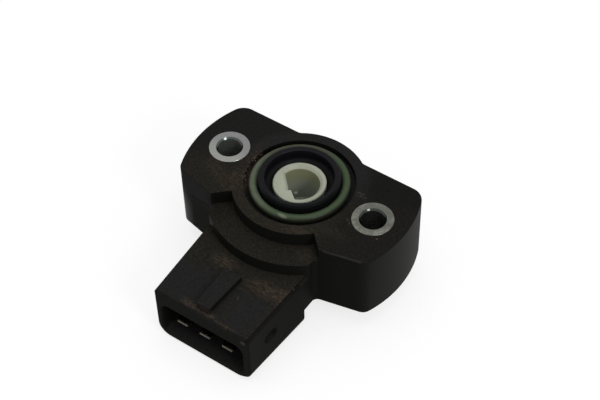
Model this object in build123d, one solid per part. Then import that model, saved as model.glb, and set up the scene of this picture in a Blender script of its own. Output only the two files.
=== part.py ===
from build123d import *
import os
from math import cos, radians, sin, sqrt, tan

# Throttle position sensor, in millimetres.
# The origin is on the rotor's axis at the mounting face. +Z leaves the mounting face, +X runs
# along the two ears and the connector hood points along -Y.

# Ears and body
hole_spacing = 32.0
ear_overhang = 6.7
back_edge = 10.4
front_edge = 10.55
front_slant = 12.4
back_corner_radius = 3.0
front_corner_radius = 2.0
body_height = 14.6
edge_radius = 0.3
back_chamfer = 0.3

# Round boss and the stepped recess in front of it
boss_radius = 12.6
boss_blend_radius = 1.0
recess_radius = 17.4
recess_depth = 3.0
recess_half_angle = 46.5
neck_corner_radius = 0.8
neck_blend_radius = 1.2

# Collar, groove and face seal
collar_bore_radius = 6.45
collar_wall = 1.25
collar_height = 1.6
collar_outer_edge = 0.45
collar_inner_edge = 0.2
groove_width = 2.75
groove_depth = 1.3
o_ring_section = 1.8
seal_seat_gap = 0.03

# Steel bushes in the ears
bush_radius = 3.925
bolt_hole_radius = 2.2
bush_chamfer = 0.35

# Connector hood: the mouth and rear sections differ by the mould's draft
hood_mouth = 31.2
hood_rear = 15.0
hood_top_mouth = 6.2
hood_top_rear = 5.6
hood_bottom_mouth = 18.5
hood_bottom_rear = 18.9
hood_half_width_mouth = 10.45
hood_half_width_rear = 11.15
hood_step_width = 0.5
hood_step_depth = 0.9
hood_step_wall = 0.45
hood_corner_radius = 2.5
mouth_edge = 0.4

# Cavity of the hood
cavity_width = 17.9
cavity_height = 7.5
cavity_depth = 12.0
cavity_corner_radius = 1.6
cavity_lead_in = 0.3

# Key rib on the hood and the clip notches in its sides
rib_rear = 21.0
rib_front = 30.1
rib_width_rear = 3.7
rib_width_front = 2.8
rib_top = 4.7
notch_y = 24.9
notch_drop = 11.3
notch_length = 3.6
notch_height = 2.7
notch_depth = 0.6

# Terminals
terminal_drop = 13.35
terminal_pitch = 5.0
blade_width = 2.8
blade_thickness = 0.5
blade_tip_recess = 0.8
blade_tip_length = 0.9
blade_tip_width = 2.2
blade_tip_chamfer = 0.12
blade_root = 2.0
lead_pitch = 4.0
lead_width = 1.2
lead_reach = 1.28

# Rotor
rotor_radius = 5.0
rotor_top_gap = 0.1
rotor_edge_radius = 0.2
socket_radius = 3.8
socket_flat = 2.25
socket_step = 0.34
socket_step_start = 1.6
socket_step_slant = 8.0
socket_angle = 44.0
socket_depth = 8.4
socket_chamfer = 0.5
disc_radius = 8.4
disc_thickness = 1.4
journal_radius = 2.2
journal_length = 6.0
running_clearance = 0.05
turn_range = 95.0
lug_length = 1.0
lug_half_angle = 8.0
stop_margin = 2.0

# Shaft seal and spring washer
shaft_seal_drop = 0.3
shaft_seal_height = 2.8
shaft_seal_wall = 0.45
seal_lip_drop = 0.7
seal_lip_height = 0.42
seal_lip_back = 0.56
washer_inner_radius = 5.5
washer_outer_radius = 8.0
washer_thickness = 0.2
washer_dish = 0.15
washer_clearance = 0.15

# Measuring chamber, plate and cover
disc_clearance = 0.35
chamber_radius = 10.2
cover_recess = 1.6
cover_seat_width = 1.1
cover_fit = 0.05
cover_seal_thickness = 0.4
cover_platform_height = 0.3
cover_proud = 0.2
cover_edge = 0.4
cover_boss_radius = 7.2
cover_boss_edge = 0.6
pocket_floor_gap = 0.2
plate_clearance = 0.3
plate_thickness = 0.7
plate_hole_radius = 3.2
track_thickness = 0.1
resistor_radius = 7.4
collector_radius = 5.2
track_width = 1.2
resistor_opening = 40.0
pad_width = 1.8

# Wiper and contact clips
wiper_thickness = 0.2
wiper_drop = 1.1
wiper_tip_gap = 0.1
wiper_half_angle = 34.0
wiper_base_inner = 3.6
finger_width = 0.8
finger_length = 2.0
finger_pad = 0.4
peg_radius = 0.5
peg_angle = 20.0
peg_height = 0.55
peg_clearance = 0.03
clip_height = 0.5
clip_width = 1.0
clip_length = 0.5
clip_thickness = 0.15

# How far cutting tools and joined solids reach past a face
overlap = 1.0

# Distance within which two places count as one
same_place = 1e-4

# Heights worked out from the back cover upwards
seat_z = -body_height + cover_recess
rim_z = seat_z - cover_seal_thickness
platform_z = rim_z + cover_platform_height
plate_top_z = platform_z + plate_thickness
track_top_z = plate_top_z + track_thickness
finger_tip_z = track_top_z + wiper_tip_gap
disc_bottom_z = finger_tip_z + wiper_drop + wiper_thickness
disc_top_z = disc_bottom_z + disc_thickness
roof_z = disc_top_z + washer_thickness + washer_dish + washer_clearance
lead_bottom_z = track_top_z + clip_height
lead_top_z = lead_bottom_z + blade_thickness
chamber_roof_z = lead_top_z + clip_thickness
cover_face_z = -body_height - cover_proud
journal_end_z = disc_bottom_z - journal_length

# Height of the ledge beside the hood's top, at its rear
hood_ledge_z = -hood_top_rear - hood_step_depth

# Radii worked out from the holes, the collar and the chamber
ear_end_radius = hole_spacing / 2 + ear_overhang
collar_radius = collar_bore_radius + collar_wall
groove_radius = collar_radius + groove_width
seal_shoulder_z = -shaft_seal_drop - shaft_seal_height
cover_radius = chamber_radius + cover_seat_width
plate_radius = chamber_radius - plate_clearance
lug_radius = disc_radius + lug_length


def disc(radius, top, bottom):
    """Upright cylinder on the rotor's axis."""
    return Pos(0, 0, bottom) * extrude(Circle(radius), top - bottom)


def ring(outer, inner, top, bottom):
    """Upright tube on the rotor's axis."""
    return disc(outer, top, bottom) - disc(inner, top, bottom)


def wedge(centre, half_angle, reach):
    """Triangle with its tip on the axis, about a compass angle."""
    low = radians(centre - half_angle)
    high = radians(centre + half_angle)
    far = reach / cos(radians(half_angle))
    ends = [(far * cos(turn), far * sin(turn)) for turn in (low, high)]
    return make_face(Polyline((0, 0), *ends, close=True))


def sector(outer, inner, centre, half_angle, top, bottom):
    """Part of a tube, up to half a turn wide."""
    plan = (Circle(outer) & wedge(centre, half_angle, outer)) - Circle(inner)
    return Pos(0, 0, bottom) * extrude(plan, top - bottom)


def block(x_low, x_high, y_low, y_high, z_low, z_high):
    """Box between two corners."""
    size = Box(x_high - x_low, y_high - y_low, z_high - z_low)
    return Pos((x_low + x_high) / 2, (y_low + y_high) / 2, (z_low + z_high) / 2) * size


def front_y(x):
    """Place of the ears' slanted front edge, at its named distance where it passes a screw."""
    return -front_edge + (abs(x) - hole_spacing / 2) * tan(radians(front_slant))


def ear_outline():
    """Plan of the ears and boss: a disc cut by the straight back edge and the slanted front edges."""
    reach = 2 * ear_end_radius
    corners = [
        (-reach, back_edge),
        (reach, back_edge),
        (reach, front_y(reach)),
        (0, front_y(0)),
        (-reach, front_y(reach)),
    ]
    plan = make_face(Polyline(*corners, close=True)) & Circle(ear_end_radius)
    outer = plan.vertices().filter_by(lambda v: abs(v.X) > boss_radius)
    plan = fillet(outer.sort_by(Axis.Y)[-2:], back_corner_radius)
    outer = plan.vertices().filter_by(lambda v: abs(v.X) > boss_radius)
    plan = fillet(outer.sort_by(Axis.Y)[:2], front_corner_radius)
    plan += Circle(boss_radius)
    joins = plan.vertices().filter_by(lambda v: abs(v.X) < boss_radius and v.Y > 0)
    return fillet(joins.sort_by(Axis.Y)[:2], boss_blend_radius)


def neck_plan():
    """Plan of the stepped neck between the boss and the hood."""
    round_front = Circle(recess_radius) & wedge(-90, recess_half_angle, recess_radius)
    width = 2 * hood_half_width_rear
    plan = round_front & Pos(0, -recess_radius / 2) * Rectangle(width, recess_radius)
    corners = plan.vertices().group_by(Axis.Y)[0]
    return fillet(corners, neck_corner_radius)


def upper_body():
    """Ears and boss above the recess floor, with a small radius round the mounting face."""
    plate = Pos(0, 0, -recess_depth) * extrude(ear_outline(), recess_depth)
    plate = fillet(plate.edges().group_by(Axis.Z)[-1], edge_radius)
    return plate - sector(2 * recess_radius, boss_radius, -90, recess_half_angle, overlap, -recess_depth)


def blended_plan(front):
    """Plan of the ears and a part in front of them, blended where the two meet."""
    plan = ear_outline() + front
    on_front = plan.vertices().filter_by(lambda v: abs(v.Y - front_y(v.X)) < same_place)
    return fillet(on_front.sort_by(lambda v: abs(v.X))[:2], neck_blend_radius)


def lower_body():
    """Ears, boss and neck below the recess floor, with a broken edge round the back."""
    root = Pos(0, -hood_rear / 2) * Rectangle(2 * hood_half_width_rear, hood_rear)
    base = Pos(0, 0, -body_height) * extrude(blended_plan(root), body_height + hood_ledge_z)
    back = base.edges().group_by(Axis.Z)[0]
    base = chamfer(back.filter_by(lambda e: e.center().Y > -hood_rear + same_place), back_chamfer)
    neck = Pos(0, 0, hood_ledge_z) * extrude(blended_plan(neck_plan()), -recess_depth - hood_ledge_z)
    return base + neck


def hood_section(distance, half_width, top, bottom):
    """Section of the hood, with a stepped edge along the top and round lower corners."""
    shoulder = half_width - hood_step_width
    ledge = -top - hood_step_depth
    corners = [
        (shoulder, -top),
        (shoulder, -top - hood_step_wall),
        (half_width, ledge),
        (half_width, -bottom),
        (-half_width, -bottom),
        (-half_width, ledge),
        (-shoulder, -top - hood_step_wall),
        (-shoulder, -top),
    ]
    face = make_face(Polyline(*corners, close=True))
    face = fillet(face.vertices().sort_by(Axis.Y)[:2], hood_corner_radius)
    return Plane.XZ.offset(distance) * face


def hood_blank():
    """Solid hood, drawn from the rear section to the mouth, with its edge broken at the mouth."""
    length = hood_mouth - hood_rear
    along = (length - mouth_edge) / length
    rear = (hood_half_width_rear, hood_top_rear, hood_bottom_rear)
    mouth = (hood_half_width_mouth, hood_top_mouth, hood_bottom_mouth)
    shoulder = [r + along * (m - r) for r, m in zip(rear, mouth)]
    lip = [mouth[0] - mouth_edge, mouth[1] + mouth_edge, mouth[2] - mouth_edge]
    sections = [
        hood_section(hood_rear, *rear),
        hood_section(hood_mouth - mouth_edge, *shoulder),
        hood_section(hood_mouth, *lip),
    ]
    hood = loft(sections, ruled=True)
    root = extrude(sections[0], -(hood_rear - boss_radius))
    above_ledge = block(-hood_mouth, hood_mouth, -hood_mouth, 0, hood_ledge_z, 0)
    return hood + (root & above_ledge)


def hood_cavity():
    """Space for the plug, with a small lead-in at the mouth."""
    plan = Plane.XZ.offset(hood_mouth) * Pos(0, -terminal_drop) * RectangleRounded(
        cavity_width, cavity_height, cavity_corner_radius
    )
    cavity = extrude(plan, -cavity_depth)
    grow = 2 * cavity_lead_in
    lip = Plane.XZ.offset(hood_mouth) * Pos(0, -terminal_drop) * RectangleRounded(
        cavity_width + grow, cavity_height + grow, cavity_corner_radius + cavity_lead_in
    )
    inner = Plane.XZ.offset(hood_mouth - cavity_lead_in) * Pos(0, -terminal_drop) * RectangleRounded(
        cavity_width, cavity_height, cavity_corner_radius
    )
    return cavity + loft([lip, inner], ruled=True)


def key_rib():
    """Tapered key on top of the hood."""
    plan = make_face(
        Polyline(
            (-rib_width_rear / 2, -rib_rear),
            (rib_width_rear / 2, -rib_rear),
            (rib_width_front / 2, -rib_front),
            (-rib_width_front / 2, -rib_front),
            close=True,
        )
    )
    return Pos(0, 0, -hood_top_mouth - overlap) * extrude(plan, hood_top_mouth + overlap - rib_top)


def clip_notch(side):
    """Oblong dimple with sloping sides in one side of the hood, where the plug's wire clip snaps in."""
    along = (notch_y - hood_rear) / (hood_mouth - hood_rear)
    wall = hood_half_width_rear + along * (hood_half_width_mouth - hood_half_width_rear)
    slope = 2 * notch_depth
    outside = SlotOverall(notch_length + slope, notch_height + slope)
    floor = SlotOverall(notch_length - slope, notch_height - slope)
    tool = loft([Pos(0, 0, side * notch_depth) * outside, Pos(0, 0, -side * notch_depth) * floor], ruled=True)
    return Pos(side * wall, -notch_y, -notch_drop) * Rot(0, 90, 0) * Rot(0, 0, 90) * tool


def chamber():
    """Bores of the housing from the collar down to the cover's seat."""
    bearing = rotor_radius + running_clearance
    below = -body_height - overlap
    space = disc(collar_bore_radius, collar_height + overlap, seal_shoulder_z)
    space += disc(bearing, seal_shoulder_z + overlap, roof_z - overlap)
    space += disc(disc_radius + disc_clearance, roof_z, chamber_roof_z - overlap)
    stop_span = turn_range / 2 + lug_half_angle + stop_margin
    stop_radius = lug_radius + disc_clearance
    space += sector(stop_radius, rotor_radius, 90, stop_span, roof_z, chamber_roof_z - overlap)
    space += disc(chamber_radius, chamber_roof_z, below)
    return space + disc(cover_radius + cover_fit, seat_z, below)


def collar():
    """Spigot round the rotor, with rounded lips."""
    tube = ring(collar_radius, collar_bore_radius, collar_height, -groove_depth - overlap)
    for lip_radius, place in ((collar_inner_edge, 0), (collar_outer_edge, -1)):
        lips = tube.edges().group_by(Axis.Z)[-1].sort_by(lambda e: e.radius)
        tube = fillet(lips[place], lip_radius)
    return tube


def make_housing(terminals):
    """Moulded housing with its hood, grooves, bores and the slots that the terminals fill."""
    body = upper_body() + lower_body() + hood_blank() + key_rib()
    body -= ring(groove_radius, collar_radius, overlap, -groove_depth)
    body += collar()
    body -= chamber()
    body -= hood_cavity()
    for side in (-1, 1):
        body -= clip_notch(side)
        body -= Pos(side * hole_spacing / 2, 0, 0) * disc(bush_radius, overlap, -body_height - overlap)
    for terminal in terminals:
        body -= terminal
    return body


def make_bush(side):
    """Turned sleeve that carries the screw's load through an ear."""
    sleeve = ring(bush_radius, bolt_hole_radius, 0, -body_height)
    circles = sleeve.edges().filter_by(GeomType.CIRCLE)
    bore_rims = circles.filter_by(lambda e: e.radius < bush_radius - same_place)
    return Pos(side * hole_spacing / 2, 0, 0) * chamfer(bore_rims, bush_chamfer)


def make_o_ring():
    """Face seal in the groove round the collar."""
    half = o_ring_section / 2
    mean = collar_radius + seal_seat_gap + half
    return Pos(0, 0, -groove_depth + seal_seat_gap + half) * Torus(mean, half)


def make_shaft_seal():
    """Rubber ring in the collar's bore, with a lip that runs on the rotor."""
    lip = rotor_radius + running_clearance
    wall = collar_bore_radius - shaft_seal_wall
    top = -shaft_seal_drop
    profile = [
        (collar_bore_radius, top),
        (wall, top),
        (lip, top - seal_lip_drop),
        (lip, top - seal_lip_drop - seal_lip_height),
        (wall, top - seal_lip_drop - seal_lip_height - seal_lip_back),
        (wall, seal_shoulder_z),
        (collar_bore_radius, seal_shoulder_z),
    ]
    return revolve(Plane.XZ * make_face(Polyline(*profile, close=True)), Axis.Z)


def make_spring_washer():
    """Dished washer under the housing's roof."""
    profile = [
        (washer_inner_radius, roof_z),
        (washer_outer_radius, roof_z - washer_dish),
        (washer_outer_radius, roof_z - washer_dish - washer_thickness),
        (washer_inner_radius, roof_z - washer_thickness),
    ]
    return revolve(Plane.XZ * make_face(Polyline(*profile, close=True)), Axis.Z)


def socket_plan(grow):
    """Round hole with a flat on one side."""
    radius = socket_radius + grow
    reach = 2 * radius
    return Circle(radius) - Pos(-socket_flat - grow - reach / 2, 0) * Rectangle(reach, reach)


def socket_space():
    """Space for the throttle's shaft: a lead-in, and a step towards the axis at one end of the flat."""
    top = -rotor_top_gap
    bottom = top - socket_depth
    space = Pos(0, 0, bottom) * extrude(socket_plan(0), socket_depth + overlap)
    space += loft(
        [Pos(0, 0, top) * socket_plan(socket_chamfer), Pos(0, 0, top - socket_chamfer) * socket_plan(0)],
        ruled=True,
    )
    inner = -socket_flat + socket_step
    reach = socket_radius + overlap
    corners = [
        (-reach, -socket_step_start),
        (inner, -socket_step_start),
        (inner + (reach - socket_step_start) * tan(radians(socket_step_slant)), -reach),
        (-reach, -reach),
    ]
    step = Pos(0, 0, bottom) * extrude(make_face(Polyline(*corners, close=True)), socket_depth + overlap)
    return Rot(0, 0, socket_angle) * (space - step)


def make_rotor():
    """Rotor with the shaft's socket on top, the wiper's disc and the lower journal."""
    top = -rotor_top_gap
    body = disc(rotor_radius, top, disc_bottom_z)
    body = fillet(body.edges().group_by(Axis.Z)[-1], rotor_edge_radius)
    body += disc(disc_radius, disc_top_z, disc_bottom_z)
    body += disc(journal_radius, disc_bottom_z + overlap, journal_end_z)
    lug_angle = 90 - turn_range / 2
    body += sector(lug_radius, rotor_radius, lug_angle, lug_half_angle, disc_top_z, disc_bottom_z)
    for side in (-1, 1):
        body += wiper_peg(side)
    return body - socket_space()


def wiper_base_angle():
    """Compass angle of the wiper on the disc, opposite the connector at mid travel."""
    return 90 - turn_range / 2


def wiper_peg(side, grow=0.0, reach=0.0):
    """Moulded peg that the wiper's base is staked on."""
    mean = (resistor_radius + collector_radius) / 2
    angle = radians(wiper_base_angle() + side * peg_angle)
    return Pos(mean * cos(angle), mean * sin(angle), 0) * disc(
        peg_radius + grow, disc_bottom_z + reach, disc_bottom_z - peg_height - reach
    )


def wiper_finger(radius):
    """Finger that slopes down from the base to its tip on one track."""
    root = disc_bottom_z - wiper_thickness
    profile = [
        (0, disc_bottom_z),
        (0, root),
        (finger_length, finger_tip_z),
        (finger_length + finger_pad, finger_tip_z),
        (finger_length + finger_pad, finger_tip_z + wiper_thickness),
        (finger_length, finger_tip_z + wiper_thickness),
    ]
    plate = Plane.YZ * make_face(Polyline(*profile, close=True))
    start = radius * sin(radians(wiper_half_angle))
    across = radius * cos(radians(wiper_half_angle))
    return Pos(across, start - wiper_thickness, 0) * extrude(plate, finger_width / 2, both=True)


def make_wiper():
    """Sheet spring on the rotor's disc, with one finger for each track."""
    bottom = disc_bottom_z - wiper_thickness
    outer = resistor_radius + track_width / 2
    base = sector(outer, wiper_base_inner, 0, wiper_half_angle, disc_bottom_z, bottom)
    for radius in (resistor_radius, collector_radius):
        base += wiper_finger(radius)
    base = Rot(0, 0, wiper_base_angle()) * base
    for side in (-1, 1):
        base -= wiper_peg(side, peg_clearance, overlap)
    return base


def make_resistor_plate():
    """Round plate on the cover, open round the rotor's journal."""
    return ring(plate_radius, plate_hole_radius, plate_top_z, platform_z)


def make_resistor_track():
    """Printed arc, open towards the connector."""
    half = track_width / 2
    arc = ring(resistor_radius + half, resistor_radius - half, track_top_z, plate_top_z)
    opening = sector(
        plate_radius, plate_hole_radius, -90, resistor_opening, track_top_z + overlap, plate_top_z - overlap
    )
    return arc - opening


def make_collector_track():
    """Printed ring inside the resistor's arc."""
    half = track_width / 2
    return ring(collector_radius + half, collector_radius - half, track_top_z, plate_top_z)


def lead_end(index):
    """Place where a terminal's lead ends inside the chamber."""
    x = index * lead_pitch
    return x, -(sqrt(chamber_radius**2 - x**2) - lead_reach)


def make_contact_pads(tracks):
    """Printed pads that join the clips to the tracks."""
    pads = []
    for index in (-1, 0, 1):
        x, y = lead_end(index)
        arc_end = resistor_radius * cos(radians(resistor_opening)) - track_width / 2
        inner = -collector_radius if index == 0 else -arc_end
        pad = block(x - pad_width / 2, x + pad_width / 2, y - clip_length, inner, plate_top_z, track_top_z)
        pad &= disc(plate_radius, track_top_z, plate_top_z)
        for track in tracks:
            pad -= track
        pads += pad.solids().sort_by(Axis.Y)[:1]
    return Compound(pads)


def make_terminal(index):
    """Flat tab in the hood, with a cranked lead through the housing to the chamber."""
    x = index * terminal_pitch
    half = blade_thickness / 2
    tip = -hood_mouth + blade_tip_recess
    root = -hood_mouth + cavity_depth + blade_root
    blade_plan = [
        (-blade_width / 2, root),
        (-blade_width / 2, tip + blade_tip_length),
        (-blade_tip_width / 2, tip),
        (blade_tip_width / 2, tip),
        (blade_width / 2, tip + blade_tip_length),
        (blade_width / 2, root),
    ]
    blade = extrude(make_face(Polyline(*blade_plan, close=True)), half, both=True)
    tip_edges = blade.faces().sort_by(Axis.Y)[0].edges().filter_by(Axis.X)
    blade = Pos(x, 0, -terminal_drop) * chamfer(tip_edges, blade_tip_chamfer)
    lead_x, end = lead_end(index)
    low = -terminal_drop - half
    crank = [
        (root - half, low),
        (root - half, lead_top_z),
        (end, lead_top_z),
        (end, lead_bottom_z),
        (root + half, lead_bottom_z),
        (root + half, low),
    ]
    plate = Plane.YZ * make_face(Polyline(*crank, close=True))
    return blade + Pos(lead_x, 0, 0) * extrude(plate, lead_width / 2, both=True)


def make_contact_clip(index):
    """Folded strip between a terminal's lead and its pad."""
    x, end = lead_end(index)
    back = end - clip_length
    fold = end - clip_thickness
    profile = [
        (back, lead_bottom_z),
        (end, lead_bottom_z),
        (end, track_top_z),
        (back, track_top_z),
        (back, track_top_z + clip_thickness),
        (fold, track_top_z + clip_thickness),
        (fold, lead_bottom_z - clip_thickness),
        (back, lead_bottom_z - clip_thickness),
    ]
    strip = Plane.YZ * make_face(Polyline(*profile, close=True))
    return Pos(x, 0, 0) * extrude(strip, clip_width / 2, both=True)


def make_cover_seal():
    """Flat seal between the housing's seat and the cover's rim."""
    return ring(cover_radius, chamber_radius, seat_z, rim_z)


def make_back_cover():
    """Lid with the plate's platform inside and the journal's pocket in a boss outside."""
    boss_face_z = -hood_bottom_rear
    rim = disc(cover_radius, rim_z, cover_face_z)
    rim = chamfer(rim.edges().group_by(Axis.Z)[0], cover_edge)
    boss = disc(cover_boss_radius, cover_face_z + overlap, boss_face_z)
    boss = chamfer(boss.edges().group_by(Axis.Z)[0], cover_boss_edge)
    lid = rim + boss + disc(plate_radius, platform_z, rim_z - overlap)
    pocket_floor_z = journal_end_z - pocket_floor_gap
    return lid - disc(journal_radius + running_clearance, platform_z + overlap, pocket_floor_z)


def build_nodes():
    """Every solid of the sensor by its node's name."""
    terminals = {f"terminal_{index + 2}": make_terminal(index) for index in (-1, 0, 1)}
    clips = {f"contact_clip_{index + 2}": make_contact_clip(index) for index in (-1, 0, 1)}
    resistor = make_resistor_track()
    collector = make_collector_track()
    nodes = {
        "housing": make_housing(terminals.values()),
        "back_cover": make_back_cover(),
        "cover_seal": make_cover_seal(),
        "bush_left": make_bush(-1),
        "bush_right": make_bush(1),
        "o_ring": make_o_ring(),
        "shaft_seal": make_shaft_seal(),
        "spring_washer": make_spring_washer(),
        "rotor": make_rotor(),
        "wiper": make_wiper(),
        "resistor_plate": make_resistor_plate(),
        "resistor_track": resistor,
        "collector_track": collector,
        "contact_pads": make_contact_pads([resistor, collector]),
    }
    return {**nodes, **terminals, **clips}


os.makedirs("parts", exist_ok=True)
for name, shape in build_nodes().items():
    export_step(shape, f"parts/{name}.step")
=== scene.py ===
import math
from functools import cached_property

import bpy
import numpy as np
from bpy.props import FloatProperty, FloatVectorProperty, IntProperty, PointerProperty
from mathutils import Matrix, Vector


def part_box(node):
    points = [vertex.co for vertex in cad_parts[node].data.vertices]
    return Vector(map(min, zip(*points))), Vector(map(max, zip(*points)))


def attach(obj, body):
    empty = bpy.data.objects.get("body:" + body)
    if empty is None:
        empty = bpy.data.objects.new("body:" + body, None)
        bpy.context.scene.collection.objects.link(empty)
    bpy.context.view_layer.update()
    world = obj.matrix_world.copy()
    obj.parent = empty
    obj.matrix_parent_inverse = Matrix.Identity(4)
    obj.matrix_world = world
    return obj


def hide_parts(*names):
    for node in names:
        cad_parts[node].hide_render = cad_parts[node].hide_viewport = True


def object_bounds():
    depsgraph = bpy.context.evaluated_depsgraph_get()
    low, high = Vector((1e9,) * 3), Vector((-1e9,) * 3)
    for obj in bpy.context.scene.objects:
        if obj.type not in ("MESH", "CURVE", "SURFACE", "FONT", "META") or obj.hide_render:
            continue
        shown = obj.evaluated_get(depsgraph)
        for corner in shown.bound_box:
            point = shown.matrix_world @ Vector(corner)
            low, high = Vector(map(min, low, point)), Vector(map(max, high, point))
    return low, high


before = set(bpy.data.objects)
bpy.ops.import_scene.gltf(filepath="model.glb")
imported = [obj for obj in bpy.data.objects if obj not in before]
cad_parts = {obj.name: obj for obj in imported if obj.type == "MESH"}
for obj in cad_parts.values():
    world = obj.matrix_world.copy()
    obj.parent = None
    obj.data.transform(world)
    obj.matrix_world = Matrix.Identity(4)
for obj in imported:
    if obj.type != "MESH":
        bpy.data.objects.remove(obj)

bl_info = {
    "name": "Throttle position sensor",
    "version": (1, 0, 0),
    "blender": (4, 5, 0),
    "location": "View3D > Sidebar > Sensor",
    "description": "Gives the sensor's solids their moulded, turned and rubber surfaces and sets its stage",
    "category": "Object",
}

CAD_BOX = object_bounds()
MM = 0.001

# Sizes and places in millimetres that the surfaces follow
BUSH_PLACE = 16.0
BUSH_BORE = 2.2
BUSH_CHAMFER = 0.35
BUSH_MOUTH = BUSH_BORE + BUSH_CHAMFER
BORE_PITCH = 0.62
END_RING_PITCH = 0.14
SCREEN_PITCH = 0.12
HOOD_REAR = 15.0
HOOD_TOP_REAR = 5.6
HOOD_TOP_SLOPE = 0.6 / 16.2

# Share of a patch's or a line's reach that is at full strength
PATCH_CORE = 0.25
LINE_CORE = 0.3

# Middles and half sizes of the patches of dust on the housing, in millimetres
HEAVY_DUST = (
    ((-3.2, -19.2, -5.8), (3.6, 2.1, 2.0)),
    ((6.6, -20.4, -5.8), (6.2, 2.5, 2.0)),
    ((10.2, -20.0, -5.8), (2.6, 2.6, 2.0)),
    ((1.9, -30.4, -6.2), (2.4, 1.1, 2.0)),
    ((-2.7, -30.0, -6.2), (3.2, 1.2, 2.0)),
    ((5.2, -30.8, -6.2), (3.2, 0.7, 2.0)),
)
LIGHT_DUST = (
    ((9.2, -11.6, -3.0), (2.4, 2.2, 1.0)),
    ((6.4, -9.6, 0.0), (4.4, 2.2, 1.0)),
    ((12.6, -6.6, 0.0), (3.4, 2.0, 1.0)),
    ((-10.6, 0.2, 0.0), (1.8, 4.0, 1.0)),
    ((-10.3, -5.6, 0.0), (2.2, 3.2, 1.0)),
)

# Grit beside the seal and in spots on the hood: turns in degrees, lengths in millimetres
GRIT_SEED = 7
SEAL_GRIT_COUNT = 40
SEAL_GRIT_TURNS = (170, 214)
SEAL_GRIT_REACH = (9.9, 10.6)
SEAL_GRIT_HEIGHT = (-0.3, 0.02)
SPOT_GRIT_COUNT = 9
SPOT_GRIT_SPREAD = (0.22, 0.16)
GRIT_SPOTS = (
    (1.6, -30.2), (-2.9, -29.9), (-1.8, -30.3), (5.6, -30.7),
    (3.3, -24.5), (10.6, -17.4), (10.0, -20.1), (7.2, -20.6),
)

# Sizes of the crumbs as shares of the middle size, and how uneven their corners are
SEAL_CRUMBS = (0.5, 1.3)
SPOT_CRUMBS = (0.25, 0.7)
CRUMB_STRETCH = (0.6, 1.2)
CRUMB_SKEW = 0.18


def linear(red, green, blue):
    """Linear light of a colour written as screen values from 0 to 255."""
    screen = np.array((red, green, blue)) / 255
    light = np.where(screen <= 0.04045, screen / 12.92, ((screen + 0.055) / 1.055) ** 2.4)
    return tuple(light.tolist())


def colour(name, description, screen):
    """Colour property whose default is written in screen values."""
    return FloatVectorProperty(
        name=name, description=description, default=linear(*screen), size=3, min=0, max=1, subtype="COLOR"
    )


def number(name, description, default, **options):
    """Property for one number."""
    return FloatProperty(name=name, description=description, default=default, **options)


def length(name, description, millimetres):
    """Length property whose default is written in millimetres."""
    return number(name, description, millimetres * MM, precision=6, unit="LENGTH")


def angle(name, description, degrees):
    """Angle property whose default is written in degrees."""
    return number(name, description, math.radians(degrees), subtype="ANGLE")


def steps(name, description, default, least):
    """Property for a count of steps, with the least that still gives the shape."""
    return IntProperty(name=name, description=description, default=default, min=least)


class SensorSizes(bpy.types.PropertyGroup):
    """Sizes of the bushes, the seal ring and the grit"""

    crease: angle("Crease", "Edges sharper than this stay sharp on a turned ring", 28)
    turns: steps("Turns", "Steps round a turned or moulded ring", 128, 24)
    seal_steps: steps("Seal steps", "Steps round the seal's section", 48, 12)
    seal_flash: length("Seal flash", "How far the moulding flash stands out of the seal ring", 0.03)
    flash_width: length("Flash width", "Half of the width of that flash", 0.09)
    bush_bore: length("Bush bore", "Radius of a bush's bore", BUSH_BORE)
    bush_chamfer: length("Bush chamfer", "Chamfer at both ends of a bush's bore", BUSH_CHAMFER)
    bush_edge: length("Bush edge", "Broken outer edge of a bush", 0.06)
    bore_steps: steps("Bore steps", "Steps along a bush's bore", 120, 24)
    bore_pitch: length("Bore pitch", "Distance between the tool marks in a bush's bore", BORE_PITCH)
    bore_mark: length("Bore mark", "Depth of the tool marks in a bush's bore", 0.035)
    crumb: length("Crumb", "Middle size of the grit on the housing", 0.11)


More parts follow.
